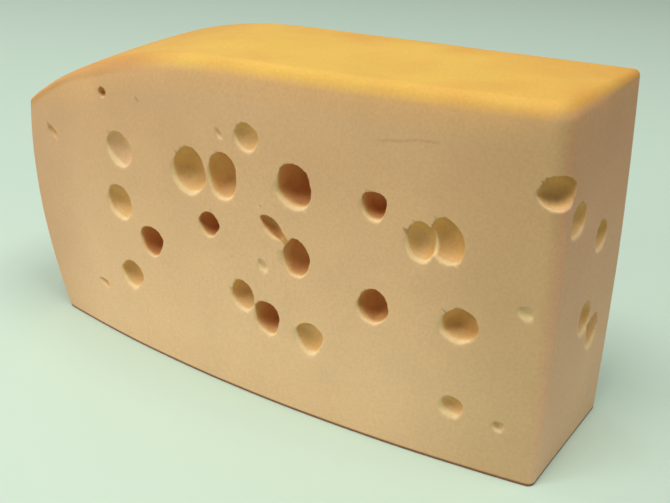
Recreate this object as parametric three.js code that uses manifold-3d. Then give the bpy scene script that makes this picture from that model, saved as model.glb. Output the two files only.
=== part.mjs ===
// Block of emmental cut from a wheel, in millimetres.
// +X is the length, from the rind end to the cut end. -Y is the front cut face and +Z is up.
// The origin is under the middle of the block, on the surface that it stands on.
import * as THREE from "three";
import { mergeVertices } from "three/addons/utils/BufferGeometryUtils.js";
import Module from "manifold-3d";

const wasm = await Module();
wasm.setup();

// Driving dimensions of the block. The front length is from the rind to the cut end along the front face.
const HEIGHT = 160;
const FRONT_LENGTH = 303;
const CUT_END_WIDTH = 74;
const FRONT_BOW = 11.2;
const BOW_SPAN = 280;
const END_SWELL = 1.6;

// The wheel that the block is cut from: its axis stands behind the front face.
// Its side bulges at mid height, and its top falls away towards the rim.
const WHEEL_RADIUS = 370;
const AXIS_BEHIND = 106;
const RIM_BULGE = 19.4;
const SHOULDER_RUN = 155;
const SHOULDER_DROP = 46.4;
const SHOULDER_POWER = 2.45;

// Soft arrises: wide along the top of the front, narrow at the base and next to the rind
const FRONT_ARRIS = 7;
const BACK_ARRIS = 4;
const BASE_ARRIS = 3;
const RIND_ARRIS = 1.5;
const RIND_ARRIS_REACH = 75;

// The block's own corner, low at the front of the cut end, lies here from the origin
const AXIS_ALONG = Math.sqrt(WHEEL_RADIUS ** 2 - AXIS_BEHIND ** 2) - FRONT_LENGTH;
const BACK_REACH = Math.sqrt(WHEEL_RADIUS ** 2 - (CUT_END_WIDTH - AXIS_BEHIND) ** 2) - AXIS_ALONG;
const CORNER_X = (BACK_REACH - END_SWELL) / 2;
const CORNER_Y = (FRONT_BOW - CUT_END_WIDTH) / 2;

// Grid of the outer surface: steps across each face, and across each arris
const STEPS = { x: 28, y: 9, z: 15 };
const ARRIS_STEPS = 3;

// Eyes of the front face: x, height, half width, half height, depth, lean in degrees
const FRONT_EYES = [
  [-72.8, 133.3, 2.6, 2.2, 4.5, 0],
  [-63.9, 107.1, 10.7, 9.8, 4.2, 0],
  [-66.8, 79.0, 10.0, 8.9, 6.5, 0],
  [-43.8, 64.0, 7.8, 7.4, 13.5, 0],
  [-61.7, 40.9, 7.9, 7.2, 7.0, 0],
  [-14.3, 106.5, 10.0, 10.5, 10.0, 0],
  [6.1, 108.3, 8.1, 10.3, 11.5, 0],
  [20.7, 128.2, 7.2, 6.9, 4.2, 0],
  [45.3, 111.3, 8.9, 9.1, 16.0, 0],
  [83.7, 110.7, 5.6, 5.5, 10.5, 0],
  [-3.6, 83.1, 5.9, 5.7, 11.5, 0],
  [34.9, 90.6, 8.2, 3.8, 4.6, 28],
  [45.9, 78.6, 6.7, 8.7, 12.5, 0],
  [15.3, 52.2, 6.6, 7.2, 8.0, 0],
  [29.3, 44.9, 6.9, 7.4, 12.5, 0],
  [52.7, 41.5, 7.2, 7.5, 5.5, 0],
  [84.1, 65.7, 6.8, 7.6, 12.5, 0],
  [122.7, 67.0, 7.5, 6.7, 8.5, 0],
  [104.6, 99.5, 6.1, 8.3, 4.6, 0],
  [115.5, 101.7, 6.9, 9.8, 5.4, -14],
  [121.8, 28.8, 5.2, 4.3, 3.6, 0],
  [142.1, 25.3, 2.5, 2.0, 1.6, 0],
];

// The eye that opens on the near arris: its middle from the block's corner, and its half sizes
const ARRIS_EYE = { x: -1.8, y: 1.2, z: 127.6, wide: 8.2, deep: 8.2, high: 6.6 };

// Eyes of the cut end: distance behind the near arris, height, half width, half height, depth, lean
const END_EYES = [
  [15.6, 114.0, 7.6, 6.5, 5.0, 0],
  [44.2, 98.2, 6.6, 7.0, 5.0, 0],
  [36.6, 63.8, 6.9, 7.6, 5.0, 0],
  [48.4, 52.8, 6.9, 7.7, 5.0, 0],
];

// Eyes of the back face, which is cut through the same paste: x, height, half width, half height, depth, lean
const BACK_EYES = [
  [-118.0, 88.0, 8.2, 7.6, 6.0, 0],
  [-84.0, 54.0, 7.4, 7.0, 10.5, 0],
  [-50.0, 104.0, 9.6, 9.0, 8.0, 0],
  [-31.0, 70.0, 6.2, 6.6, 10.0, 0],
  [-8.0, 124.0, 6.8, 6.2, 4.2, 0],
  [-3.0, 41.0, 9.0, 8.4, 12.0, 0],
  [22.0, 96.0, 7.6, 8.4, 12.0, 0],
  [38.6, 91.0, 7.0, 7.6, 5.5, 0],
  [53.0, 53.0, 6.8, 7.2, 9.0, 0],
  [70.0, 128.0, 5.6, 5.4, 8.5, 0],
  [86.0, 84.0, 9.0, 9.4, 7.0, 0],
  [107.0, 43.0, 7.2, 6.8, 11.0, 0],
  [127.0, 107.0, 6.4, 6.8, 6.0, 0],
  [-122.0, 34.0, 5.0, 4.6, 3.4, 0],
];

// How far an eye's wall departs from a true ellipsoid, and how strongly deep eyes undercut their rim
const EYE_UNEVENNESS = 0.035;
const UNDERCUT_LIMIT = 0.5;
const BIG_EYE = 6;

const paste = new THREE.MeshStandardMaterial({ color: 0xe3bf87, roughness: 0.6, metalness: 0 });

// Merges a geometry's shared corners and makes it a closed solid
function solidOf(geometry) {
  const bare = geometry.clone();
  bare.deleteAttribute("normal");
  bare.deleteAttribute("uv");
  const merged = mergeVertices(bare, 1e-4);
  const vertProperties = Float32Array.from(merged.attributes.position.array);
  const triVerts = Uint32Array.from(merged.index.array);
  return new wasm.Manifold(new wasm.Mesh({ numProp: 3, vertProperties, triVerts }));
}

// Turns a solid back into a geometry
function geometryOf(solid) {
  const mesh = solid.getMesh();
  const geometry = new THREE.BufferGeometry();
  geometry.setAttribute("position", new THREE.BufferAttribute(new Float32Array(mesh.vertProperties), 3));
  geometry.setIndex(new THREE.BufferAttribute(new Uint32Array(mesh.triVerts), 1));
  geometry.computeVertexNormals();
  return geometry;
}

// Plan curve of the front face, convex between the block's corner and the rind end
function frontPlace(x) {
  const radius = ((BOW_SPAN / 2) ** 2 + FRONT_BOW ** 2) / (2 * FRONT_BOW);
  const fromMiddle = x - CORNER_X + BOW_SPAN / 2;
  return CORNER_Y - (Math.sqrt(radius ** 2 - fromMiddle ** 2) - (radius - FRONT_BOW));
}

// The back face is flat, and the cut end swells a little between base and top
function backPlace() {
  return CORNER_Y + CUT_END_WIDTH;
}

function endPlace(z) {
  return CORNER_X + END_SWELL * Math.sin((Math.PI * z) / HEIGHT);
}

// Height of the rind on top: flat, then falling away towards the wheel's rim
function topHeight(x, y) {
  const fromAxis = Math.hypot(x - CORNER_X - AXIS_ALONG, y - CORNER_Y - AXIS_BEHIND);
  if (x > CORNER_X + AXIS_ALONG) return HEIGHT;
  const past = Math.max(0, (fromAxis - WHEEL_RADIUS + SHOULDER_RUN) / SHOULDER_RUN);
  return HEIGHT - SHOULDER_DROP * past ** SHOULDER_POWER;
}

// Place of the rind at the end, round in plan and bulging at mid height
function rimPlace(y, z) {
  const fromMiddle = (z - HEIGHT / 2) / (HEIGHT / 2);
  const radius = WHEEL_RADIUS - RIM_BULGE * fromMiddle ** 2;
  return CORNER_X + AXIS_ALONG - Math.sqrt(radius ** 2 - (y - CORNER_Y - AXIS_BEHIND) ** 2);
}

// Spreads grid steps so that the first and last few fall within the arris
function spread(share, steps, size) {
  const edge = ARRIS_STEPS / steps;
  const strip = FRONT_ARRIS / size;
  if (share < edge) return (share / edge) * strip;
  if (share > 1 - edge) return 1 - ((1 - share) / edge) * strip;
  return strip + ((share - edge) / (1 - 2 * edge)) * (1 - 2 * strip);
}

// Rounds the arrises of a straight box from 0 to its size: a point goes out from the inner box by the radius
function roundArrises(point) {
  const fromRind = THREE.MathUtils.smoothstep(point.x, 0, RIND_ARRIS_REACH);
  const top = THREE.MathUtils.lerp(FRONT_ARRIS, BACK_ARRIS, point.y / CUT_END_WIDTH);
  const upright = THREE.MathUtils.lerp(BASE_ARRIS, top, point.z / HEIGHT);
  const reach = new THREE.Vector3(
    point.x < FRONT_LENGTH / 2 ? RIND_ARRIS : upright,
    THREE.MathUtils.lerp(RIND_ARRIS, upright, fromRind),
    THREE.MathUtils.lerp(RIND_ARRIS, top, fromRind),
  );
  const inner = new THREE.Vector3(
    THREE.MathUtils.clamp(point.x, reach.x, FRONT_LENGTH - reach.x),
    THREE.MathUtils.clamp(point.y, reach.y, CUT_END_WIDTH - reach.y),
    Math.min(point.z, HEIGHT - reach.z),
  );
  const out = point.clone().sub(inner).divide(reach);
  const furthest = Math.max(Math.abs(out.x), Math.abs(out.y), Math.abs(out.z));
  if (furthest === 0) return point;
  return out.normalize().multiplyScalar(furthest).multiply(reach).add(inner);
}

// Bends the rounded box into the block. Each pass brings height, length and width closer to the wheel's curves.
function bendToBlock(point) {
  const share = point.clone().divide(new THREE.Vector3(FRONT_LENGTH, CUT_END_WIDTH, HEIGHT));
  const bent = new THREE.Vector3(CORNER_X - FRONT_LENGTH * (1 - share.x), CORNER_Y + point.y, point.z);
  for (let pass = 0; pass < 4; pass++) {
    bent.x = THREE.MathUtils.lerp(rimPlace(bent.y, bent.z), endPlace(bent.z), share.x);
    bent.y = THREE.MathUtils.lerp(frontPlace(bent.x), backPlace(), share.y);
    bent.z = topHeight(bent.x, bent.y) * share.z;
  }
  return bent;
}

// The block before its eyes
function blockGeometry() {
  const geometry = new THREE.BoxGeometry(1, 1, 1, STEPS.x, STEPS.y, STEPS.z);
  const position = geometry.attributes.position;
  for (let i = 0; i < position.count; i++) {
    const point = new THREE.Vector3(
      spread(position.getX(i) + 0.5, STEPS.x, FRONT_LENGTH) * FRONT_LENGTH,
      spread(position.getY(i) + 0.5, STEPS.y, CUT_END_WIDTH) * CUT_END_WIDTH,
      spread(position.getZ(i) + 0.5, STEPS.z, HEIGHT) * HEIGHT,
    );
    const bent = bendToBlock(roundArrises(point));
    position.setXYZ(i, bent.x, bent.y, bent.z);
  }
  return geometry;
}

// One eye as an uneven ellipsoid about the origin, its depth along Y
function eyeGeometry(wide, deep, high, seed) {
  const big = Math.max(wide, high) > BIG_EYE;
  const geometry = new THREE.SphereGeometry(1, big ? 16 : 12, big ? 10 : 7);
  const position = geometry.attributes.position;
  for (let i = 0; i < position.count; i++) {
    const point = new THREE.Vector3().fromBufferAttribute(position, i);
    const wave = Math.sin(3 * point.x + 2 * point.z + seed) + Math.sin(4 * point.z - 2 * point.y + 2 * seed);
    point.multiplyScalar(1 + EYE_UNEVENNESS * wave);
    position.setXYZ(i, point.x * wide, point.y * deep, point.z * high);
  }
  return geometry;
}

// An eye that opens with the given half sizes on a face and reaches to a depth behind it.
// A shallow eye has its middle out in front of the face, and a deep one has it behind.
function openingEye([, , wide, high, depth, lean], seed) {
  const ball = (wide + high) / 2;
  const sunk = THREE.MathUtils.clamp((depth - ball) / (depth + ball), -UNDERCUT_LIMIT, UNDERCUT_LIMIT);
  const grow = 1 / Math.sqrt(1 - sunk ** 2);
  const halfDepth = depth / (1 + sunk);
  const geometry = eyeGeometry(wide * grow, halfDepth, high * grow, seed);
  geometry.rotateY(THREE.MathUtils.degToRad(lean));
  return { geometry, middle: sunk * halfDepth };
}

// Cuts the eyes of all faces out of the block
function cheeseBlock() {
  let block = solidOf(blockGeometry());
  const cut = (geometry) => {
    block = block.subtract(solidOf(geometry));
  };
  FRONT_EYES.forEach((row, seed) => {
    const eye = openingEye(row, seed);
    cut(eye.geometry.translate(row[0], frontPlace(row[0]) + eye.middle, row[1]));
  });
  BACK_EYES.forEach((row, seed) => {
    const eye = openingEye(row, seed + FRONT_EYES.length);
    cut(eye.geometry.translate(row[0], backPlace() - eye.middle, row[1]));
  });
  END_EYES.forEach((row, seed) => {
    const eye = openingEye(row, seed);
    eye.geometry.rotateZ(Math.PI / 2);
    cut(eye.geometry.translate(endPlace(row[1]) - eye.middle, CORNER_Y + row[0], row[1]));
  });
  const corner = eyeGeometry(ARRIS_EYE.wide, ARRIS_EYE.deep, ARRIS_EYE.high, 1);
  cut(corner.translate(CORNER_X + ARRIS_EYE.x, CORNER_Y + ARRIS_EYE.y, ARRIS_EYE.z));
  return block;
}

const group = new THREE.Group();
const block = new THREE.Mesh(geometryOf(cheeseBlock()), paste);
block.name = "cheese_block";
group.add(block);

export default group;
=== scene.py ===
"""Looks of a block of emmental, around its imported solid.

Sizes are millimetres, also inside the Geometry Nodes trees, and the finished mesh is in metres.
+X runs from the rind end to the cut end, -Y is the bowed front cut face, +Z is up.
"""

import math
from typing import NamedTuple

import bpy
from mathutils import Matrix, Vector


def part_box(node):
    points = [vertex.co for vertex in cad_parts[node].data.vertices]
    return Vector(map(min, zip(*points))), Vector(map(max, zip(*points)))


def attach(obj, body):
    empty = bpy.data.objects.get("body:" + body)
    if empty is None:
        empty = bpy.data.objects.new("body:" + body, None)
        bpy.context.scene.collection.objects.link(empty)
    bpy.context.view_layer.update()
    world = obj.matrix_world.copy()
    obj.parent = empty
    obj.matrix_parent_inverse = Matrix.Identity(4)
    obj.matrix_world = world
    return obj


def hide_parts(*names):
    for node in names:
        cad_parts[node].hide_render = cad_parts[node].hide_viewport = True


MATH = "ShaderNodeMath"
VECTOR = "ShaderNodeVectorMath"
RANGE = "ShaderNodeMapRange"
MIX = "ShaderNodeMix"
GROUP = "GeometryNodeGroup"
MM = 0.001

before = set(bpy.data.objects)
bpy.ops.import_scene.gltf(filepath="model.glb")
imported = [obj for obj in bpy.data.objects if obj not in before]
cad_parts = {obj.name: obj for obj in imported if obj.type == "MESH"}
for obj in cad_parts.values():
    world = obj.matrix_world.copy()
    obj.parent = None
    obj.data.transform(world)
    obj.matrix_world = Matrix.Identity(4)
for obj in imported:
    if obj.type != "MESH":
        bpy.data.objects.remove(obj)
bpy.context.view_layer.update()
LOW, HIGH = (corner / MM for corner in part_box("cheese_block"))

# The block's faces as they are cut from the wheel. The corner is its low front one at the cut end.
HEIGHT = HIGH.z
FRONT_LENGTH = 303.0
FRONT_BOW = 11.2
BOW_SPAN = 280.0
END_SWELL = 1.6
CORNER = Vector((HIGH.x - END_SWELL, LOW.y + FRONT_BOW, 0.0))
BOW_RADIUS = ((BOW_SPAN / 2) ** 2 + FRONT_BOW**2) / (2 * FRONT_BOW)
BOW_MIDDLE = CORNER + Vector((-BOW_SPAN / 2, BOW_RADIUS - FRONT_BOW, 0.0))

# The wheel: its radius and axis, its bulging side and the shoulder that falls away to it
WHEEL_RADIUS = 370.0
AXIS_BEHIND = 106.0
AXIS_ALONG = math.sqrt(WHEEL_RADIUS**2 - AXIS_BEHIND**2) - FRONT_LENGTH
WHEEL_AXIS = CORNER + Vector((AXIS_ALONG, AXIS_BEHIND, 0.0))

# Sizes that the tree of the block takes as named inputs
SIZES = {
    "Height": HEIGHT,
    "Bow middle": BOW_MIDDLE,
    "Bow radius": BOW_RADIUS,
    "Back face": HIGH.y,
    "Cut end": CORNER.x,
    "End swell": END_SWELL,
    "Wheel axis": WHEEL_AXIS,
    "Wheel radius": WHEEL_RADIUS,
    "Rim bulge": 19.4,
    "Shoulder run": 155.0,
    "Shoulder drop": 45.2,
    "Shoulder power": 2.3,
    "Front arris": 7.0,
    "Back arris": 2.8,
    "Base arris": 3.0,
    "Rind arris": 1.4,
    "Rind arris reach": 75.0,
    "Foot arris": 0.3,
    "Waviness": 0.4,
    "Wave length": 45.0,
    "Wall roughness": 0.7,
    "Wall grain": 5.0,
}
# Triangles are about this wide where the surface bends, and wider where it is flat
GRAIN = 0.75
FLATNESS = 0.004
# How far to each side of a place the distances are taken that give the slope of the surface there
PROBE = 0.12
# How far from a triangle's corner to its middle that slope is taken to shade the corner
CORNER_SHARE = 0.35
# Rays that tell how sheltered a point is, how far they reach and how far above the surface they start
LIGHT_RAYS = 32
SHELTER_REACH = 60.0
RAY_START = 0.3
GOLDEN_ANGLE = math.pi * (3 - math.sqrt(5))
# The shoulder's fall is worked out from a share of its run that never quite reaches zero
LEAST_SHARE = 1e-4
# The grid blends from full to empty over this many of its cells, and reaches this many past the block
BAND_CELLS = 4.0
MARGIN_CELLS = 2.0
PULLS_TO_SURFACE = 2
SHELTER_BLURS = 2


class Hollow(NamedTuple):
    """An eye or mark: where it opens, its half sizes there, its depth, the radius of its lip, and its turn.

    With `sunk`, the depth of its middle, the sizes are those of the whole ball instead.
    """

    along: float
    height: float
    wide: float
    tall: float
    depth: float
    lip: float
    lean: float = 0.0
    tilt: float = 0.0
    sunk: float | None = None


FRONT_EYES = [
    Hollow(-72.8, 133.3, 2.6, 2.2, 4.5, 0.6),
    Hollow(-63.9, 107.1, 9.8, 9.0, 4.2, 1.4),
    Hollow(-66.8, 79.0, 9.6, 8.4, 6.5, 1.4),
    Hollow(-43.8, 64.0, 7.8, 7.4, 13.5, 0.9),
    Hollow(-61.7, 40.9, 7.9, 7.2, 7.0, 1.4),
    Hollow(-14.3, 106.5, 10.0, 10.5, 10.0, 1.6),
    Hollow(6.1, 108.3, 8.1, 10.3, 11.5, 1.4),
    Hollow(20.7, 128.2, 6.4, 6.2, 4.6, 1.2),
    Hollow(45.3, 111.3, 8.9, 9.1, 16.0, 1.8),
    Hollow(83.7, 110.7, 5.6, 5.5, 10.5, 1.4),
    Hollow(-3.6, 83.1, 5.9, 5.7, 11.5, 1.0),
    Hollow(33.2, 89.9, 6.6, 3.1, 4.8, 1.4, lean=38.0, tilt=-35.0, sunk=1.2),
    Hollow(39.0, 86.0, 4.6, 1.7, 2.4, 0.6, lean=42.0, tilt=-35.0, sunk=0.6),
    Hollow(45.9, 78.6, 6.7, 8.7, 12.5, 1.2),
    Hollow(15.3, 52.2, 6.6, 7.2, 8.0, 1.4),
    Hollow(29.3, 44.9, 6.9, 7.4, 12.5, 1.2),
    Hollow(52.7, 41.5, 7.0, 7.3, 5.5, 1.4),
    Hollow(84.1, 65.7, 6.8, 7.6, 12.5, 1.2),
    Hollow(122.7, 67.0, 7.5, 6.7, 8.5, 1.6),
    Hollow(104.6, 99.5, 6.1, 8.3, 6.4, 1.4),
    Hollow(115.5, 101.7, 6.9, 9.8, 7.4, 1.4, lean=-14.0),
    Hollow(121.8, 28.8, 5.2, 4.3, 3.6, 1.6),
    Hollow(142.1, 25.3, 2.5, 2.0, 1.6, 1.0),
]

# Nicks, a slit and faint dents of the front face
FRONT_MARKS = [
    Hollow(-120.9, 104.0, 4.6, 2.1, 2.4, 0.5, lean=38.0),
    Hollow(-87.4, 28.1, 5.1, 1.4, 1.8, 0.4, lean=15.0),
    Hollow(-46.5, 133.9, 1.9, 0.8, 1.0, 0.3, lean=50.0),
    Hollow(5.2, 127.3, 2.8, 1.3, 1.2, 0.9, lean=48.0),
    Hollow(26.9, 98.4, 1.2, 0.5, 0.6, 0.3, lean=-15.0),
    Hollow(28.1, 70.6, 3.4, 2.0, 1.4, 1.2, lean=40.0),
    Hollow(150.1, 78.9, 3.8, 2.8, 0.8, 1.0),
    Hollow(76.7, 35.5, 0.8, 0.6, 0.5, 0.3),
]

# Eyes of the cut end, placed from the near arris
END_EYES = [
    Hollow(15.6, 114.0, 7.6, 6.5, 5.0, 1.2),
    Hollow(44.2, 98.2, 6.6, 7.0, 5.0, 1.2),
    Hollow(36.6, 63.8, 6.9, 7.6, 5.0, 1.2),
    Hollow(48.4, 52.8, 6.9, 7.7, 5.0, 1.2),
]

BACK_EYES = [
    Hollow(-118.0, 88.0, 8.2, 7.6, 6.0, 1.8),
    Hollow(-84.0, 54.0, 7.4, 7.0, 10.5, 1.2),
    Hollow(-50.0, 104.0, 9.6, 9.0, 8.0, 1.8),
    Hollow(-31.0, 70.0, 6.2, 6.6, 10.0, 1.2),
    Hollow(-8.0, 124.0, 6.8, 6.2, 4.2, 2.2),
    Hollow(-3.0, 41.0, 9.0, 8.4, 12.0, 1.4),
    Hollow(22.0, 96.0, 7.6, 8.4, 12.0, 1.2),
    Hollow(38.6, 91.0, 7.0, 7.6, 5.5, 1.6),
    Hollow(53.0, 53.0, 6.8, 7.2, 9.0, 1.4),
    Hollow(70.0, 128.0, 5.6, 5.4, 8.5, 1.2),
    Hollow(86.0, 84.0, 9.0, 9.4, 7.0, 2.0),
    Hollow(107.0, 43.0, 7.2, 6.8, 11.0, 1.2),
    Hollow(127.0, 107.0, 6.4, 6.8, 6.0, 1.6),
    Hollow(-122.0, 34.0, 5.0, 4.6, 3.4, 1.8),
]

# The eye that opens on the near arris: its middle from the block's corner, and its half sizes
ARRIS_EYE_PLACE = Vector((-1.8, 1.2, 127.6))
ARRIS_EYE_SIZE = Vector((8.2, 8.2, 6.6))
ARRIS_EYE_LIP = 0.9

# Eyes depart from true ellipsoids in two slow waves, and deep ones undercut their rims up to a limit
EYE_UNEVENNESS = 0.035
FIRST_SWELLING = (3.0, 0.0, 2.0)
SECOND_SWELLING = (0.0, -2.0, 4.0)
UNDERCUT_LIMIT = 0.5
# Lips are wide at the low left of an eye, where the knife pulled the paste, and crisp round the rest.
# A lip turns from crisp to soft where its direction agrees with this one by these shares.
LIP_DIRECTION = Vector((-0.5, 0.0, -0.85))
LIP_TURN = (0.1, 0.8)
LIP_CRISP = 0.1
LIP_SOFT = 1.8
# Eyes get painted light and shade from one side: a painted cream highlight where their walls face this way
# and painted brown shade where they face away from it
LIT_SIDE = Vector((0.6, 0.0, 0.8))

# Colours
PASTE = "#dcac7b"
# Painted shade: the paste towards the cut end
PALE_PASTE = "#f1c897"
SHADED_PASTE = "#c49e6c"
TINTED_PASTE = "#ecb476"
RIND_END_PASTE = "#cb9d72"
# Painted light low on the cut end, and painted shade high on it
LIT_LOW_END_PASTE = "#fcc89c"
SHADED_HIGH_END_PASTE = "#d79d73"
# Painted shade inside the eyes and in the crease, and a painted cream highlight on the eyes' lit walls and
# lips
EYE_SHADE_PASTE = "#e4b269"
DEEP_EYE_SHADE_PASTE = "#d98c53"
BROWN_SHADE_PASTE = "#985a2c"
CREAM_HIGHLIGHT_PASTE = "#fbdfa4"
RIND = "#e3b653"
ORANGE_RIND = "#d89c49"
RIND_END_RIND = "#cd944e"
RIM_RIND = "#b07a3c"
FOOT_RIND = "#96603c"
FLOOR = "#c7dcc9"

# Sizes of the patterns in the rind and paste, and how far light soaks in.
# The real grain is finer, and is drawn as coarse as the picture shows.
RIND_MOTTLE = 22.0
PASTE_CLOUD = 30.0
PASTE_GRAIN = 1.3
CREASE_WAVE = 14.0
LIGHT_SOAK = 2.0

# Where the faint crease of the front has its middle, and how much it rises along its length
CREASE_ALONG = 97.0
CREASE_HEIGHT = 139.0
CREASE_RISE = 0.13


class Fade(NamedTuple):
    """A change between two places, heights, depths or shares, and what the change starts and ends with."""

    begin: float
    finish: float
    first: float
    last: float


# Paste, by height and along the block, with painted shade towards the cut end and painted light and shade on
# the cut end itself, and how the orange tint from the rind fades with depth
PALER_DOWN = Fade(120.0, 10.0, 0.0, 1.0)
PALER_MIDWAY = Fade(-70.0, 30.0, 0.0, 0.2)
SHADED_ALONG = Fade(85.0, 150.0, 0.0, 0.5)
DARKER_ALONG = Fade(-80.0, -150.0, 0.0, 0.8)
END_SHADE_UPWARD = Fade(10.0, 150.0, 0.0, 1.0)
ROUND_THE_ARRIS = Fade(154.0, 158.5, 0.0, 1.0)
TINT_ALONG = Fade(130.0, 155.0, 0.7, 0.2)
TINT_DEPTHS = (3.0, 20.0)

# Painted shade and painted highlights of the eyes, by depth under the face, share of shelter, direction and
# how far the lip is rounded away
INSIDE_EYE = Fade(0.25, 0.9, 0.0, 1.0)
PAST_RIM = Fade(0.15, 0.45, 0.0, 1.0)
SHELTERED = Fade(0.1, 0.35, 0.0, 1.0)
DEEPLY_SHELTERED = Fade(0.45, 0.85, 0.0, 1.0)
SHADE_BY_SIDE = Fade(0.1, -0.8, 0.0, 0.5)
HIGHLIGHT_BY_SIDE = Fade(0.2, 0.9, 0.0, 0.35)
HIGHLIGHT_BY_ROUNDING = Fade(0.01, 0.4, 0.0, 0.65)

# Crease, drawn as a line of painted shade: how far it wavers, how strong it is beside its line, towards its
# ends and under the front
CREASE_WOBBLE = Fade(0.3, 0.7, -0.8, 0.8)
CREASE_LINE = Fade(0.2, 1.0, 0.2, 0.0)
CREASE_ENDS = Fade(10.0, 15.0, 1.0, 0.0)
CREASE_DEPTH = Fade(1.0, 2.0, 1.0, 0.0)

# Rind: where it is more orange, older, and how deep its amber goes
MOTTLED_ORANGE = Fade(0.35, 0.7, -0.15, 0.3)
ORANGE_BACK = Fade(15.0, 45.0, 0.0, 0.5)
ORANGE_CUT_END = Fade(100.0, 160.0, 0.0, 0.5)
ORANGE_RIND_END = Fade(-40.0, -110.0, 0.0, 0.6)
ORANGE_BELOW = Fade(0.3, 2.5, 0.0, 0.1)
OLDER_ALONG = Fade(-10.0, -55.0, 0.0, 1.0)
OLDER_AT_FRONT = Fade(3.0, 12.0, 1.0, 0.3)
AMBER_FADES_FROM = Fade(148.0, 156.0, 2.5, 1.2)
AMBER_FADES_TO = Fade(148.0, 156.0, 8.0, 5.0)
AMBER_SHRINKS = Fade(-100.0, -75.0, 0.65, 1.0)
RIM_DEPTH = Fade(0.3, 1.2, 1.0, 0.0)
FOOT_HEIGHT = Fade(0.9, 1.7, 1.0, 0.0)

# How much the patterns lighten and darken the cheese
CLOUD_SHADES = Fade(0.3, 0.7, 0.97, 1.03)
GRAIN_SHADES = Fade(0.3, 0.7, 0.96, 1.04)

# The camera of the photograph: its place from the corner, direction and roll in degrees
CAMERA_PLACE = Vector((103.3, -291.8, 237.7))
CAMERA_AZIMUTH = 34.68
CAMERA_ELEVATION = 23.81
CAMERA_ROLL = 0.24
CAMERA_LENS = 48.374
CAMERA_SENSOR = 36.0

# The floor and the soft boxes, with their distance and size in metres
FLOOR_SIZE = 8.0
# Each box has its azimuth from the front towards the cut end, its elevation and its power in watts
SOFT_BOXES = {
    "overhead front": (0, 70, 31.0),
    "overhead right": (90, 70, 24.0),
    "overhead behind": (180, 70, 3.6),
    "left front": (-40, 20, 16.0),
    "left": (-75, 20, 15.0),
    "rear left": (-120, 45, 5.0),
}
SOFT_BOX_DISTANCE = 2.6
SOFT_BOX_SIZE = 1.2
ROOM_LIGHT = 0.1


def add(tree, kind, inputs=(), **settings):
    """Adds a node with its settings. Inputs are values, nodes or sockets, in order or by name."""
    node = tree.nodes.new(kind)
    for name, value in settings.items():
        setattr(node, name, value)
    usable = [socket for socket in node.inputs if socket.enabled]
    if isinstance(inputs, dict):
        fed = [(next(s for s in usable if s.name == name), value) for name, value in inputs.items()]
    else:
        fed = zip(usable, inputs)
    for socket, value in fed:
        if isinstance(value, bpy.types.Node):
            value = next(output for output in value.outputs if output.enabled)
        if isinstance(value, bpy.types.NodeSocket):
            tree.links.new(value, socket)
        elif value is not None:
            socket.default_value = value
    return node


def new_tree(name, inputs, outputs):
    """A Geometry Nodes tree with named inputs and outputs. Returns it with its inputs as sockets by name."""
    tree = bpy.data.node_groups.new(name, "GeometryNodeTree")
    for label, kind in inputs.items():
        tree.interface.new_socket(label, in_out="INPUT", socket_type="NodeSocket" + kind)
    for label, kind in outputs.items():
        tree.interface.new_socket(label, in_out="OUTPUT", socket_type="NodeSocket" + kind)
    given = add(tree, "NodeGroupInput")
    return tree, {label: given.outputs[label] for label in inputs}


def repeat(tree, times, **carried):
    """A repeat zone that carries numbers from their starting values. Returns its two ends."""
    first = tree.nodes.new("GeometryNodeRepeatInput")
    last = tree.nodes.new("GeometryNodeRepeatOutput")
    first.pair_with_output(last)
    last.repeat_items.clear()
    for name, start in carried.items():
        last.repeat_items.new("FLOAT", name)
        if start is not None:
            tree.links.new(start.outputs[0], first.inputs[name])
    tree.links.new(times, first.inputs["Iterations"])
    return first, last


def rounded_meeting():
    """Where two faces meet, the solid keeps the further distance, rounded by a radius."""
    numbers = {"One": "Float", "Other": "Float", "Radius": "Float"}
    tree, given = new_tree("rounded meeting", numbers, {"Distance": "Float"})
    one, other, radius = given.values()
    beyond_one = add(tree, MATH, [one, radius], operation="ADD")
    beyond_one = add(tree, MATH, [beyond_one, 0.0], operation="MAXIMUM")
    beyond_other = add(tree, MATH, [other, radius], operation="ADD")
    beyond_other = add(tree, MATH, [beyond_other, 0.0], operation="MAXIMUM")
    beyond = add(tree, "ShaderNodeCombineXYZ", [beyond_one, beyond_other, 0.0])
    arc = add(tree, VECTOR, [beyond], operation="LENGTH")
    furthest = add(tree, MATH, [one, other], operation="MAXIMUM")
    inner = add(tree, MATH, [radius, -1.0], operation="MULTIPLY")
    flat = add(tree, MATH, [furthest, inner], operation="MINIMUM")
    add(tree, "NodeGroupOutput", [add(tree, MATH, [flat, arc], operation="ADD")])
    return tree


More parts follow.
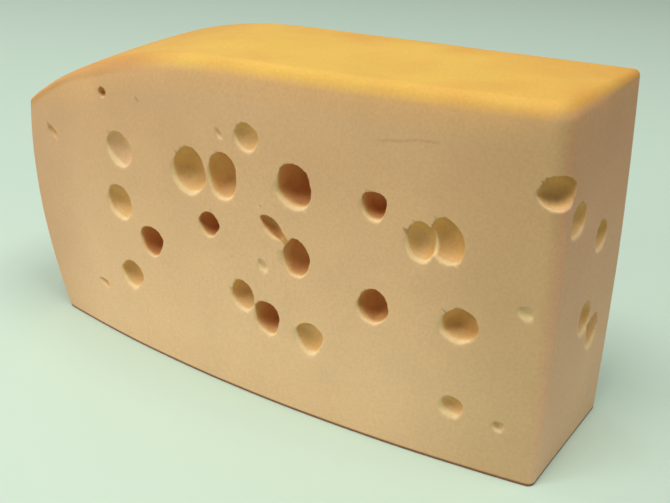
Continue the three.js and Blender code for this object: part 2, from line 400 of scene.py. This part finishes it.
def hollow_wall():
    """Distance to the wall of one hollow, an uneven ellipsoid that turns as the hollow leans and tilts."""
    sizes = {"Place": "Vector", "Middle": "Vector", "Half size": "Vector", "Turn": "Vector", "Seed": "Float"}
    tree, given = new_tree("hollow wall", sizes, {"Distance": "Float"})
    place, middle, half_size, turn, seed = given.values()
    aside = add(tree, VECTOR, [place, middle], operation="SUBTRACT")
    turned = {"Vector": aside, "Rotation": turn}
    straight = add(tree, "ShaderNodeVectorRotate", turned, rotation_type="EULER_XYZ", invert=True)
    on_ball = add(tree, VECTOR, [straight, half_size], operation="DIVIDE")
    steepness = add(tree, VECTOR, [on_ball, half_size], operation="DIVIDE")

    # The ball swells and shrinks in two slow waves
    direction = add(tree, VECTOR, [on_ball], operation="NORMALIZE")
    first = add(tree, VECTOR, [direction, FIRST_SWELLING], operation="DOT_PRODUCT")
    first = add(tree, MATH, [first, seed], operation="ADD")
    first = add(tree, MATH, [first], operation="SINE")
    second = add(tree, VECTOR, [direction, SECOND_SWELLING], operation="DOT_PRODUCT")
    second = add(tree, MATH, [seed, 2.0, second], operation="MULTIPLY_ADD")
    second = add(tree, MATH, [second], operation="SINE")
    wave = add(tree, MATH, [first, second], operation="ADD")
    swelling = add(tree, MATH, [wave, EYE_UNEVENNESS, 1.0], operation="MULTIPLY_ADD")

    reach = add(tree, VECTOR, [on_ball], operation="LENGTH")
    share = add(tree, MATH, [reach, swelling], operation="DIVIDE")
    past = add(tree, MATH, [share, 1.0], operation="SUBTRACT")
    steepness = add(tree, VECTOR, [steepness], operation="LENGTH")
    scale = add(tree, MATH, [share, steepness], operation="DIVIDE")
    add(tree, "NodeGroupOutput", [add(tree, MATH, [past, scale], operation="MULTIPLY")])
    return tree


def size_sockets():
    """Kinds of socket for the named sizes."""
    return {name: "Vector" if isinstance(size, Vector) else "Float" for name, size in SIZES.items()}


def wheel_distances(tree, given, level, z):
    """Distances to the top, which falls away towards the rim, and to the rim, square to their slopes."""
    height = given["Height"]
    from_axis = add(tree, VECTOR, [level, given["Wheel axis"]], operation="DISTANCE")
    inner = add(tree, MATH, [given["Wheel radius"], given["Shoulder run"]], operation="SUBTRACT")
    past = add(tree, RANGE, [from_axis, inner, given["Wheel radius"], 0.0, 1.0], clamp=False)
    past = add(tree, MATH, [past, LEAST_SHARE], operation="MAXIMUM")
    fallen = add(tree, MATH, [past, given["Shoulder power"]], operation="POWER")
    fall = add(tree, MATH, [fallen, given["Shoulder drop"]], operation="MULTIPLY")
    steep = add(tree, MATH, [given["Shoulder power"], given["Shoulder run"]], operation="DIVIDE")
    slope = add(tree, MATH, [fall, past], operation="DIVIDE")
    slope = add(tree, MATH, [slope, steep], operation="MULTIPLY")
    slant = add(tree, "ShaderNodeCombineXYZ", [1.0, slope, 0.0])
    slant = add(tree, VECTOR, [slant], operation="LENGTH")
    above = add(tree, MATH, [z, height], operation="SUBTRACT")
    above = add(tree, MATH, [above, fall], operation="ADD")
    top = add(tree, MATH, [above, slant], operation="DIVIDE")

    # The rim is round in plan and bulges at mid height. The 4 comes from the slope of that parabola.
    from_middle = add(tree, RANGE, [z, 0.0, height, -1.0, 1.0], clamp=False)
    inward = add(tree, MATH, [from_middle, given["Rim bulge"]], operation="MULTIPLY")
    rim_slope = add(tree, MATH, [inward, 4.0], operation="MULTIPLY")
    rim_slope = add(tree, MATH, [rim_slope, height], operation="DIVIDE")
    rim_slant = add(tree, "ShaderNodeCombineXYZ", [1.0, rim_slope, 0.0])
    rim_slant = add(tree, VECTOR, [rim_slant], operation="LENGTH")
    inward = add(tree, MATH, [inward, from_middle, from_axis], operation="MULTIPLY_ADD")
    outside = add(tree, MATH, [inward, given["Wheel radius"]], operation="SUBTRACT")
    return top, add(tree, MATH, [outside, rim_slant], operation="DIVIDE")


def uncut_distance(tree, given, meeting):
    """Distance to the block before its eyes are taken away, and those to its top and its rim alone."""
    place = given["Place"]
    height = given["Height"]
    x, y, z = add(tree, "ShaderNodeSeparateXYZ", [place]).outputs
    level = add(tree, VECTOR, [place, (1.0, 1.0, 0.0)], operation="MULTIPLY")
    top, rim = wheel_distances(tree, given, level, z)

    # The front is part of a cylinder, the back is flat and the cut end swells a little
    from_bow = add(tree, VECTOR, [level, given["Bow middle"]], operation="DISTANCE")
    front = add(tree, MATH, [from_bow, given["Bow radius"]], operation="SUBTRACT")
    back = add(tree, MATH, [y, given["Back face"]], operation="SUBTRACT")
    up_end = add(tree, RANGE, [z, 0.0, height, 0.0, math.pi])
    up_end = add(tree, MATH, [up_end], operation="SINE")
    end_at = add(tree, MATH, [up_end, given["End swell"], given["Cut end"]], operation="MULTIPLY_ADD")
    end = add(tree, MATH, [x, end_at], operation="SUBTRACT")
    base = add(tree, MATH, [z, -1.0], operation="MULTIPLY")

    # Arris radii: wide at the top of the front, narrow at the base and near the rim
    corner_y = add(tree, MATH, [given["Back face"], CORNER.y - HIGH.y], operation="ADD")
    wide = add(tree, RANGE, [y, corner_y, given["Back face"], given["Front arris"], given["Back arris"]])
    up = add(tree, RANGE, [z, 0.0, height, 0.0, 1.0])
    upright = add(tree, MIX, [up, given["Base arris"], wide], data_type="FLOAT")
    into = add(tree, MATH, [rim, -1.0], operation="MULTIPLY")
    near = [into, 0.0, given["Rind arris reach"], 0.0, 1.0]
    into = add(tree, RANGE, near, interpolation_type="SMOOTHSTEP")
    top_arris = add(tree, MIX, [into, given["Rind arris"], wide], data_type="FLOAT")
    upright_arris = add(tree, MIX, [into, given["Rind arris"], upright], data_type="FLOAT")

    # The faces meet one after another. The surface rises and falls a little, and the base cuts it flat.
    faces = add(tree, GROUP, [front, end, upright_arris], node_tree=meeting)
    faces = add(tree, GROUP, [faces, back, upright_arris], node_tree=meeting)
    faces = add(tree, GROUP, [faces, rim, given["Rind arris"]], node_tree=meeting)
    faces = add(tree, GROUP, [faces, top, top_arris], node_tree=meeting)
    wave_scale = add(tree, MATH, [1.0, given["Wave length"]], operation="DIVIDE")
    waves = add(tree, "ShaderNodeTexNoise", {"Vector": place, "Scale": wave_scale, "Detail": 1.0})
    faces = add(tree, MATH, [waves, given["Waviness"], faces], operation="MULTIPLY_ADD")
    return add(tree, GROUP, [faces, base, given["Foot arris"]], node_tree=meeting), top, rim


def cut_distance(tree, given, uncut, meeting, wall):
    """Distances once the hollows are taken away, one turn for each: with their lips, and as sharp edges."""
    place = given["Place"]
    hollows = given["Hollows"]
    count = add(tree, "GeometryNodeAttributeDomainSize", [hollows], component="MESH")
    first, last = repeat(tree, count.outputs["Point Count"], Distance=uncut, Edge=uncut)
    told = {}
    for name in ("middle", "half_size", "turn", "seed_and_lip"):
        stored = add(tree, "GeometryNodeInputNamedAttribute", [name], data_type="FLOAT_VECTOR")
        number = [hollows, stored, first.outputs["Iteration"]]
        told[name] = add(tree, "GeometryNodeSampleIndex", number, data_type="FLOAT_VECTOR")
    seed, lip = add(tree, "ShaderNodeSeparateXYZ", [told["seed_and_lip"]]).outputs[:2]
    reach = add(tree, GROUP, [place, told["middle"], told["half_size"], told["turn"], seed], node_tree=wall)
    wall_scale = add(tree, MATH, [1.0, given["Wall grain"]], operation="DIVIDE")
    rough = add(tree, "ShaderNodeTexNoise", {"Vector": place, "Scale": wall_scale, "Detail": 0.0})
    rough = add(tree, MATH, [rough, 0.5], operation="SUBTRACT")
    rough = add(tree, MATH, [rough, given["Wall roughness"]], operation="MULTIPLY")
    out_of_hollow = add(tree, MATH, [rough, reach], operation="SUBTRACT")
    side = add(tree, VECTOR, [place, told["middle"]], operation="SUBTRACT")
    side = add(tree, VECTOR, [side], operation="NORMALIZE")
    side = add(tree, VECTOR, [side, LIP_DIRECTION], operation="DOT_PRODUCT")
    softness = add(tree, RANGE, [side, *LIP_TURN, LIP_CRISP, LIP_SOFT])
    lip = add(tree, MATH, [lip, softness], operation="MULTIPLY")
    left = add(tree, GROUP, [first.outputs["Distance"], out_of_hollow, lip], node_tree=meeting)
    tree.links.new(left.outputs[0], last.inputs["Distance"])
    edge = add(tree, MATH, [first.outputs["Edge"], out_of_hollow], operation="MAXIMUM")
    tree.links.new(edge.outputs[0], last.inputs["Edge"])
    return last.outputs["Distance"], last.outputs["Edge"]


def cheese_distance(meeting, wall):
    """Distance from a place to the cheese's surface, negative inside, and how deep the place is.

    The depths are those under the top, under the rim and under the eyes' edges, as if they were sharp.
    """
    inputs = {"Hollows": "Geometry", "Place": "Vector", **size_sockets()}
    tree, given = new_tree("cheese distance", inputs, {"Distance": "Float", "Depths": "Vector"})
    uncut, top, rim = uncut_distance(tree, given, meeting)
    cut, edge = cut_distance(tree, given, uncut, meeting, wall)
    distances = add(tree, "ShaderNodeCombineXYZ", [top, rim, edge])
    depths = add(tree, VECTOR, {"Vector": distances, "Scale": -1.0}, operation="SCALE")
    add(tree, "NodeGroupOutput", [cut, depths])
    return tree


def outward(distance):
    """Direction straight out of the surface, from the distance at four places around the given one."""
    inputs = {"Hollows": "Geometry", "Place": "Vector", **size_sockets()}
    tree, given = new_tree("outward", inputs, {"Direction": "Vector"})
    total = None
    for corner in ((1, -1, -1), (-1, -1, 1), (-1, 1, -1), (1, 1, 1)):
        aside = add(tree, VECTOR, [given["Place"], [PROBE * c for c in corner]], operation="ADD")
        measured = add(tree, GROUP, {**given, "Place": aside}, node_tree=distance)
        pull = add(tree, VECTOR, {"Vector": corner, "Scale": measured}, operation="SCALE")
        total = add(tree, VECTOR, [total, pull], operation="ADD") if total else pull
    add(tree, "NodeGroupOutput", [add(tree, VECTOR, [total], operation="NORMALIZE")])
    return tree


def shelter():
    """Share of the light from all around that the block keeps from each of its own points."""
    inputs = {"Surface": "Geometry", "Outward": "Vector", "Rays": "Int", "Reach": "Float"}
    tree, given = new_tree("shelter", inputs, {"Shelter": "Float"})
    first, last = repeat(tree, given["Rays"], Shut=None)

    # Directions are spread evenly over a ball and added to the outward one
    number = first.outputs["Iteration"]
    highest = add(tree, MATH, [given["Rays"], 0.5], operation="SUBTRACT")
    climb = add(tree, RANGE, [number, -0.5, highest, -1.0, 1.0])
    level = add(tree, MATH, [climb], operation="ARCCOSINE")
    level = add(tree, MATH, [level], operation="SINE")
    angle = add(tree, MATH, [number, GOLDEN_ANGLE], operation="MULTIPLY")
    along = add(tree, MATH, [angle], operation="COSINE")
    along = add(tree, MATH, [level, along], operation="MULTIPLY")
    across = add(tree, MATH, [angle], operation="SINE")
    across = add(tree, MATH, [level, across], operation="MULTIPLY")
    ball = add(tree, "ShaderNodeCombineXYZ", [along, across, climb])
    ray = add(tree, VECTOR, [given["Outward"], ball], operation="ADD")
    place = add(tree, "GeometryNodeInputPosition")
    start = add(tree, VECTOR, [given["Outward"], [RAY_START] * 3, place], operation="MULTIPLY_ADD")
    cast = {"Target Geometry": given["Surface"], "Source Position": start, "Ray Direction": ray}
    cast["Ray Length"] = given["Reach"]
    hit = add(tree, "GeometryNodeRaycast", cast)
    shut = add(tree, MATH, [first.outputs["Shut"], hit.outputs["Is Hit"]], operation="ADD")
    tree.links.new(shut.outputs[0], last.inputs["Shut"])
    share = add(tree, MATH, [last.outputs["Shut"], given["Rays"]], operation="DIVIDE")
    add(tree, "NodeGroupOutput", [share])
    return tree


def cheese_block():
    """The whole block: a fine grid of distances, its surface, and what the material needs at each point."""
    distance = cheese_distance(rounded_meeting(), hollow_wall())
    direction = outward(distance)
    inputs = {"Hollows": "Geometry", "Lowest": "Vector", "Highest": "Vector", "Grain": "Float"}
    inputs.update({"Flatness": "Float", "Corner share": "Float", "Rays": "Int", "Shelter reach": "Float"})
    inputs.update({"Material": "Material", **size_sockets()})
    tree, given = new_tree("cheese block", inputs, {"Block": "Geometry"})
    sizes = {name: given[name] for name in SIZES}
    place = add(tree, "GeometryNodeInputPosition")
    asked = {"Hollows": given["Hollows"], "Place": place, **sizes}

    # Each cell of the grid is full inside the surface and empty outside, and blends over a few cells
    grain = given["Grain"]
    band = add(tree, MATH, [grain, -BAND_CELLS], operation="MULTIPLY")
    full = add(tree, GROUP, asked, node_tree=distance)
    full = add(tree, MATH, [full, band], operation="DIVIDE")
    full = add(tree, MATH, [full, 0.5], operation="ADD", use_clamp=True)
    margin = add(tree, VECTOR, {"Vector": [MARGIN_CELLS] * 3, "Scale": grain}, operation="SCALE")
    lowest = add(tree, VECTOR, [given["Lowest"], margin], operation="SUBTRACT")
    highest = add(tree, VECTOR, [given["Highest"], margin], operation="ADD")
    steps = add(tree, VECTOR, [highest, lowest], operation="SUBTRACT")
    cells_per_mm = add(tree, MATH, [1.0, grain], operation="DIVIDE")
    steps = add(tree, VECTOR, {"Vector": steps, "Scale": cells_per_mm}, operation="SCALE")
    steps = add(tree, "ShaderNodeSeparateXYZ", [steps]).outputs
    grid = add(tree, "GeometryNodeVolumeCube", [full, 0.0, lowest, highest, *steps])
    surface = add(tree, "GeometryNodeVolumeToMesh", [grid, 0.5, given["Flatness"]], resolution_mode="GRID")

    # Points are pulled onto the true surface
    for _ in range(PULLS_TO_SURFACE):
        back = add(tree, GROUP, asked, node_tree=distance)
        back = add(tree, MATH, [back, -1.0], operation="MULTIPLY")
        out = add(tree, GROUP, asked, node_tree=direction)
        step = add(tree, VECTOR, {"Vector": out, "Scale": back}, operation="SCALE")
        surface = add(tree, "GeometryNodeSetPosition", {"Geometry": surface, "Offset": step})

    out = add(tree, GROUP, asked, node_tree=direction)
    shut = add(tree, GROUP, [surface, out, given["Rays"], given["Shelter reach"]], node_tree=shelter())
    shut = add(tree, "GeometryNodeBlurAttribute", [shut, SHELTER_BLURS], data_type="FLOAT")
    depths = add(tree, GROUP, asked, node_tree=distance).outputs["Depths"]
    kept = (("shelter", "FLOAT", shut), ("depths", "FLOAT_VECTOR", depths), ("facing", "FLOAT_VECTOR", out))
    for name, kind, value in kept:
        stored = {"Geometry": surface, "Name": name, "Value": value}
        surface = add(tree, "GeometryNodeStoreNamedAttribute", stored, data_type=kind, domain="POINT")

    # Each corner of a triangle is shaded as the surface a little further in on it, which keeps rims crisp
    middle = add(tree, "GeometryNodeFieldOnDomain", [place], data_type="FLOAT_VECTOR", domain="FACE")
    further_in = add(tree, MIX, [given["Corner share"], place, middle], data_type="VECTOR")
    shade = add(tree, GROUP, {**asked, "Place": further_in}, node_tree=direction)
    surface = add(tree, "GeometryNodeSetShadeSmooth", {"Geometry": surface, "Shade Smooth": True})
    surface = add(tree, "GeometryNodeSetMeshNormal", [surface, shade], mode="FREE", domain="CORNER")
    surface = add(tree, "GeometryNodeTransform", {"Geometry": surface, "Scale": (MM, MM, MM)})
    surface = add(tree, "GeometryNodeRealizeInstances", [surface])
    surface = add(tree, "GeometryNodeSetMaterial", {"Geometry": surface, "Material": given["Material"]})
    add(tree, "NodeGroupOutput", [surface])
    return tree


def front_place(along):
    """Plan curve of the front face."""
    return BOW_MIDDLE.y - math.sqrt(BOW_RADIUS**2 - (along - BOW_MIDDLE.x) ** 2)


def end_place(height):
    """Swell of the cut end."""
    return CORNER.x + END_SWELL * math.sin(math.pi * height / HEIGHT)


def ball_of(eye):
    """Half sizes of the ellipsoid that opens as the eye does and is as deep, and how deep its middle is."""
    if eye.sunk is not None:
        return Vector((eye.wide, eye.depth, eye.tall)), eye.sunk
    mean = (eye.wide + eye.tall) / 2
    sunk = max(-UNDERCUT_LIMIT, min(UNDERCUT_LIMIT, (eye.depth - mean) / (eye.depth + mean)))
    grow = 1 / math.sqrt(1 - sunk**2)
    half_depth = eye.depth / (1 + sunk)
    return Vector((eye.wide * grow, half_depth, eye.tall * grow)), sunk * half_depth


def hollow_places():
    """A point for each hollow, with its middle, half sizes, turn, and seed and lip."""
    rows = []
    faces = (
        (FRONT_EYES + FRONT_MARKS, 0, 0.0, lambda eye, deep: (eye.along, front_place(eye.along) + deep)),
        (BACK_EYES, len(FRONT_EYES), 0.0, lambda eye, deep: (eye.along, HIGH.y - deep)),
        (END_EYES, 0, math.pi / 2, lambda eye, deep: (end_place(eye.height) - deep, CORNER.y + eye.along)),
    )
    for eyes, first_seed, face_turn, in_plan in faces:
        for seed, eye in enumerate(eyes, first_seed):
            size, deep = ball_of(eye)
            turn = (math.radians(eye.tilt), math.radians(eye.lean), face_turn)
            rows.append((Vector((*in_plan(eye, deep), eye.height)), size, turn, (seed, eye.lip, 0.0)))
    rows.append((CORNER + ARRIS_EYE_PLACE, ARRIS_EYE_SIZE, (0.0, 0.0, 0.0), (1, ARRIS_EYE_LIP, 0.0)))

    mesh = bpy.data.meshes.new("hollow places")
    mesh.from_pydata([row[0] for row in rows], [], [])
    for name, column in zip(("middle", "half_size", "turn", "seed_and_lip"), zip(*rows)):
        attribute = mesh.attributes.new(name, "FLOAT_VECTOR", "POINT")
        attribute.data.foreach_set("vector", [number for value in column for number in value])
    return mesh


def linear(hex_colour):
    """An sRGB hex colour as linear light."""
    shares = [int(hex_colour[i : i + 2], 16) / 255 for i in (1, 3, 5)]
    return [c / 12.92 if c <= 0.04045 else ((c + 0.055) / 1.055) ** 2.4 for c in shares] + [1.0]


def paste_colour(tree, place, under_top):
    """Paste: palest low in the middle of the block, painted darker near the cut end as painted shade, and
    darker at the rind end. The cut end itself is painted lighter low down and darker higher up, as painted
    light and shade.
    """
    x, _, height = add(tree, "ShaderNodeSeparateXYZ", [place]).outputs
    low_down = add(tree, RANGE, [height, *PALER_DOWN])
    midway = add(tree, RANGE, [x, *PALER_MIDWAY], interpolation_type="SMOOTHSTEP")
    pale = add(tree, MATH, [low_down, midway], operation="ADD")
    colour = add(tree, MIX, [pale, linear(PASTE), linear(PALE_PASTE)], data_type="RGBA")
    # Painted shade: darker towards the cut end
    shaded = add(tree, RANGE, [x, *SHADED_ALONG], interpolation_type="SMOOTHSTEP")
    colour = add(tree, MIX, [shaded, colour, linear(SHADED_PASTE)], data_type="RGBA")
    # Painted light and shade on the cut end: lighter low down, darker higher up
    high_up = add(tree, RANGE, [height, *END_SHADE_UPWARD])
    end = add(tree, MIX, [high_up, linear(LIT_LOW_END_PASTE), linear(SHADED_HIGH_END_PASTE)], data_type="RGBA")
    around = add(tree, RANGE, [x, *ROUND_THE_ARRIS], interpolation_type="SMOOTHSTEP")
    colour = add(tree, MIX, [around, colour, end], data_type="RGBA")

    # It takes up some orange under the rind, and less of it at the cut end
    tint = add(tree, RANGE, [x, *TINT_ALONG])
    tinted = add(tree, RANGE, [under_top, *TINT_DEPTHS, tint, 0.0], interpolation_type="SMOOTHSTEP")
    colour = add(tree, MIX, [tinted, colour, linear(TINTED_PASTE)], data_type="RGBA")
    rind_end = add(tree, RANGE, [x, *DARKER_ALONG], interpolation_type="SMOOTHSTEP")
    return add(tree, MIX, [rind_end, colour, linear(RIND_END_PASTE)], data_type="RGBA")


def under_faces(tree, place):
    """Depth of a place under the front, and under the nearest of the front, the back and the cut end."""
    x, y, _ = add(tree, "ShaderNodeSeparateXYZ", [place]).outputs
    level = add(tree, VECTOR, [place, (1.0, 1.0, 0.0)], operation="MULTIPLY")
    from_bow = add(tree, VECTOR, [level, BOW_MIDDLE], operation="DISTANCE")
    under_front = add(tree, MATH, [BOW_RADIUS, from_bow], operation="SUBTRACT")
    under_back = add(tree, MATH, [HIGH.y, y], operation="SUBTRACT")
    under_end = add(tree, MATH, [HIGH.x, x], operation="SUBTRACT")
    nearest = add(tree, MATH, [under_front, under_back], operation="MINIMUM")
    return under_front, add(tree, MATH, [nearest, under_end], operation="MINIMUM")


def eye_colour(tree, colour, shut, facing, under_edge, under_face):
    """Painted shade on the walls of the eyes, which lie under the faces: yellower, and redder where little
    light comes.
    """
    inside = add(tree, RANGE, [under_face, *INSIDE_EYE])
    closed = add(tree, RANGE, [shut, *SHELTERED], interpolation_type="SMOOTHSTEP")
    closed = add(tree, MATH, [closed, inside], operation="MULTIPLY")
    colour = add(tree, MIX, [closed, colour, linear(EYE_SHADE_PASTE)], data_type="RGBA")
    deep = add(tree, RANGE, [shut, *DEEPLY_SHELTERED], interpolation_type="SMOOTHSTEP")
    deep = add(tree, MATH, [deep, inside], operation="MULTIPLY")
    colour = add(tree, MIX, [deep, colour, linear(DEEP_EYE_SHADE_PASTE)], data_type="RGBA")

    # Painted light and shade: each eye is painted browner on the side that faces away from the light and
    # paler on the side that faces it, and its lip gets a painted highlight.
    side = add(tree, VECTOR, [facing, LIT_SIDE], operation="DOT_PRODUCT")
    shaded_wall = add(tree, RANGE, [side, *SHADE_BY_SIDE])
    shaded_wall = add(tree, MATH, [shaded_wall, closed], operation="MULTIPLY")
    colour = add(tree, MIX, [shaded_wall, colour, linear(BROWN_SHADE_PASTE)], data_type="RGBA")
    highlight = add(tree, RANGE, [side, *HIGHLIGHT_BY_SIDE])
    shallow = add(tree, MATH, [closed, deep], operation="SUBTRACT")
    highlight = add(tree, MATH, [highlight, shallow], operation="MULTIPLY", use_clamp=True)
    lip = add(tree, RANGE, [under_edge, *HIGHLIGHT_BY_ROUNDING])
    past_rim = add(tree, RANGE, [under_face, *PAST_RIM])
    lip = add(tree, MATH, [lip, past_rim], operation="MULTIPLY")
    highlight = add(tree, MATH, [highlight, lip], operation="MAXIMUM")
    return add(tree, MIX, [highlight, colour, linear(CREAM_HIGHLIGHT_PASTE)], data_type="RGBA")


def crease_colour(tree, colour, place, under_front):
    """Painted shade of a faint wavering crease of the front, which rises a little towards the cut end."""
    x, _, height = add(tree, "ShaderNodeSeparateXYZ", [place]).outputs
    past_middle = add(tree, MATH, [x, CREASE_ALONG], operation="SUBTRACT")
    above_line = add(tree, MATH, [height, CREASE_HEIGHT], operation="SUBTRACT")
    above_line = add(tree, MATH, [past_middle, -CREASE_RISE, above_line], operation="MULTIPLY_ADD")
    wobble = add(tree, "ShaderNodeTexNoise", {"Vector": place, "Scale": 1 / CREASE_WAVE, "Detail": 1.0})
    wobble = add(tree, RANGE, [wobble, *CREASE_WOBBLE])
    off_line = add(tree, MATH, [above_line, wobble], operation="SUBTRACT")
    off_line = add(tree, MATH, [off_line], operation="ABSOLUTE")
    crease = add(tree, RANGE, [off_line, *CREASE_LINE])
    ends = add(tree, MATH, [past_middle], operation="ABSOLUTE")
    ends = add(tree, RANGE, [ends, *CREASE_ENDS])
    crease = add(tree, MATH, [crease, ends], operation="MULTIPLY")
    at_front = add(tree, RANGE, [under_front, *CREASE_DEPTH])
    crease = add(tree, MATH, [crease, at_front], operation="MULTIPLY")
    return add(tree, MIX, [crease, colour, linear(BROWN_SHADE_PASTE)], data_type="RGBA")


def rind_colour(tree, colour, place, under_top, under_rim, under_front):
    """Mottled amber rind, more orange at the back and both ends, that fades into the paste over the arris."""
    x, y, height = add(tree, "ShaderNodeSeparateXYZ", [place]).outputs
    mottle = add(tree, "ShaderNodeTexNoise", {"Vector": place, "Scale": 1 / RIND_MOTTLE, "Detail": 3.0})
    orange = add(tree, RANGE, [mottle, *MOTTLED_ORANGE], clamp=False)
    more_orange = ((y, ORANGE_BACK), (x, ORANGE_CUT_END), (x, ORANGE_RIND_END), (under_top, ORANGE_BELOW))
    for coordinate, fade in more_orange:
        more = add(tree, RANGE, [coordinate, *fade])
        orange = add(tree, MATH, [orange, more], operation="ADD")
    rind = add(tree, MIX, [orange, linear(RIND), linear(ORANGE_RIND)], data_type="RGBA")
    old = add(tree, RANGE, [x, *OLDER_ALONG], interpolation_type="SMOOTHSTEP")
    near_front = add(tree, RANGE, [under_front, *OLDER_AT_FRONT])
    old = add(tree, MATH, [old, near_front], operation="MULTIPLY")
    rind = add(tree, MIX, [old, rind, linear(RIND_END_RIND)], data_type="RGBA")

    # The amber goes less deep at both ends
    upper = add(tree, RANGE, [x, *AMBER_FADES_FROM])
    lower = add(tree, RANGE, [x, *AMBER_FADES_TO])
    shrink = add(tree, RANGE, [x, *AMBER_SHRINKS])
    upper = add(tree, MATH, [upper, shrink], operation="MULTIPLY")
    lower = add(tree, MATH, [lower, shrink], operation="MULTIPLY")
    amber = add(tree, RANGE, [under_top, upper, lower, 1.0, 0.0], interpolation_type="SMOOTHSTEP")
    colour = add(tree, MIX, [amber, colour, rind], data_type="RGBA")
    rim = add(tree, RANGE, [under_rim, *RIM_DEPTH])
    colour = add(tree, MIX, [rim, colour, linear(RIM_RIND)], data_type="RGBA")
    foot = add(tree, RANGE, [height, *FOOT_HEIGHT])
    return add(tree, MIX, [foot, colour, linear(FOOT_RIND)], data_type="RGBA")


def grain_colour(tree, colour, place):
    """Faint clouds and fine grain all over."""
    clouds = add(tree, "ShaderNodeTexNoise", {"Vector": place, "Scale": 1 / PASTE_CLOUD, "Detail": 2.0})
    clouds = add(tree, RANGE, [clouds, *CLOUD_SHADES])
    grain = add(tree, "ShaderNodeTexNoise", {"Vector": place, "Scale": 1 / PASTE_GRAIN, "Detail": 1.0})
    grain = add(tree, RANGE, [grain, *GRAIN_SHADES])
    shade = add(tree, MATH, [clouds, grain], operation="MULTIPLY")
    return add(tree, VECTOR, {"Vector": colour, "Scale": shade}, operation="SCALE")


def cheese_material():
    """Ripe pressed paste, cut smooth: satin and a little waxy, so light soaks in and softens every edge.

    The rind is amber and tints the paste under it. Sheltered walls of the eyes are painted redder as painted
    shade, and the eyes' lit walls and lips get a painted cream highlight.
    """
    material = bpy.data.materials.new("emmental paste and rind")
    material.use_nodes = True
    tree = material.node_tree
    tree.nodes.clear()
    place = add(tree, "ShaderNodeTexCoord").outputs["Object"]
    place = add(tree, VECTOR, {"Vector": place, "Scale": 1 / MM}, operation="SCALE")
    depths = add(tree, "ShaderNodeAttribute", attribute_name="depths").outputs["Vector"]
    under_top, under_rim, under_edge = add(tree, "ShaderNodeSeparateXYZ", [depths]).outputs
    shut = add(tree, "ShaderNodeAttribute", attribute_name="shelter").outputs["Fac"]
    facing = add(tree, "ShaderNodeAttribute", attribute_name="facing").outputs["Vector"]
    under_front, under_face = under_faces(tree, place)

    colour = paste_colour(tree, place, under_top)
    colour = eye_colour(tree, colour, shut, facing, under_edge, under_face)
    colour = crease_colour(tree, colour, place, under_front)
    colour = rind_colour(tree, colour, place, under_top, under_rim, under_front)
    surface = {
        "Base Color": grain_colour(tree, colour, place),
        "Roughness": 0.6,
        "Specular IOR Level": 0.3,
        "Subsurface Weight": 0.3,
        "Subsurface Radius": (1.0, 0.75, 0.5),
        "Subsurface Scale": LIGHT_SOAK * MM,
    }
    shader = add(tree, "ShaderNodeBsdfPrincipled", surface)
    add(tree, "ShaderNodeOutputMaterial", [shader])
    return material


def build_cheese():
    """Makes the block from its hollows and sizes, and lets it stand for the solid."""
    tree = cheese_block()
    maker = bpy.data.objects.new("hollow places", hollow_places())
    bpy.context.scene.collection.objects.link(maker)
    modifier = maker.modifiers.new("cheese block", "NODES")
    modifier.node_group = tree
    values = {"Lowest": LOW, "Highest": HIGH, "Grain": GRAIN, "Flatness": FLATNESS, "Rays": LIGHT_RAYS}
    values.update({"Shelter reach": SHELTER_REACH, "Corner share": CORNER_SHARE})
    values.update({"Material": cheese_material(), **SIZES})
    for item in tree.interface.items_tree:
        if item.in_out == "INPUT" and item.name in values:
            modifier[item.identifier] = values[item.name]
    made = maker.evaluated_get(bpy.context.evaluated_depsgraph_get())
    piece = bpy.data.objects.new("emmental_block", bpy.data.meshes.new_from_object(made))
    maker.modifiers.remove(modifier)
    bpy.data.objects.remove(maker)
    bpy.context.scene.collection.objects.link(piece)
    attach(piece, "root")
    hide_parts("cheese_block")


def paper_material():
    """Pale matte paper: it hardly shines, so all it shows is the block's soft shadow."""
    material = bpy.data.materials.new("pale matte paper")
    material.use_nodes = True
    shader = material.node_tree.nodes["Principled BSDF"]
    shader.inputs["Base Color"].default_value = linear(FLOOR)
    shader.inputs["Roughness"].default_value = 0.9
    return material


def build_floor():
    """A sheet of paper for the block to stand on."""
    bpy.ops.mesh.primitive_plane_add(size=FLOOR_SIZE)
    floor = bpy.context.object
    floor.name = "floor"
    floor.data.materials.append(paper_material())


def build_light():
    """Soft boxes around the block, in a room that is faintly lit all over."""
    world = bpy.data.worlds.new("soft room")
    world.use_nodes = True
    world.node_tree.nodes["Background"].inputs["Color"].default_value = (1.0, 1.0, 1.0, 1.0)
    world.node_tree.nodes["Background"].inputs["Strength"].default_value = ROOM_LIGHT
    bpy.context.scene.world = world
    for name, (azimuth, elevation, watts) in SOFT_BOXES.items():
        lamp = bpy.data.lights.new(name, "AREA")
        lamp.shape = "DISK"
        lamp.size = SOFT_BOX_SIZE
        lamp.energy = watts
        box = bpy.data.objects.new(name, lamp)
        across, up = math.radians(azimuth), math.radians(elevation)
        towards = Vector((math.sin(across) * math.cos(up), -math.cos(across) * math.cos(up), math.sin(up)))
        box.location = towards * SOFT_BOX_DISTANCE
        box.rotation_euler = towards.to_track_quat("Z", "Y").to_euler()
        bpy.context.scene.collection.objects.link(box)


def build_camera():
    """The photograph's own view."""
    camera = bpy.data.objects.new("camera", bpy.data.cameras.new("camera"))
    camera.data.sensor_width = CAMERA_SENSOR
    camera.data.lens = CAMERA_LENS
    camera.location = (CORNER + CAMERA_PLACE) * MM
    around = Matrix.Rotation(math.radians(CAMERA_AZIMUTH), 3, "Z")
    down = Matrix.Rotation(math.radians(90 - CAMERA_ELEVATION), 3, "X")
    roll = Matrix.Rotation(math.radians(CAMERA_ROLL), 3, "Z")
    camera.rotation_euler = (around @ down @ roll).to_euler()
    bpy.context.scene.collection.objects.link(camera)
    bpy.context.scene.camera = camera


build_cheese()
build_floor()
build_light()
build_camera()
bpy.context.scene.view_settings.view_transform = "Standard"
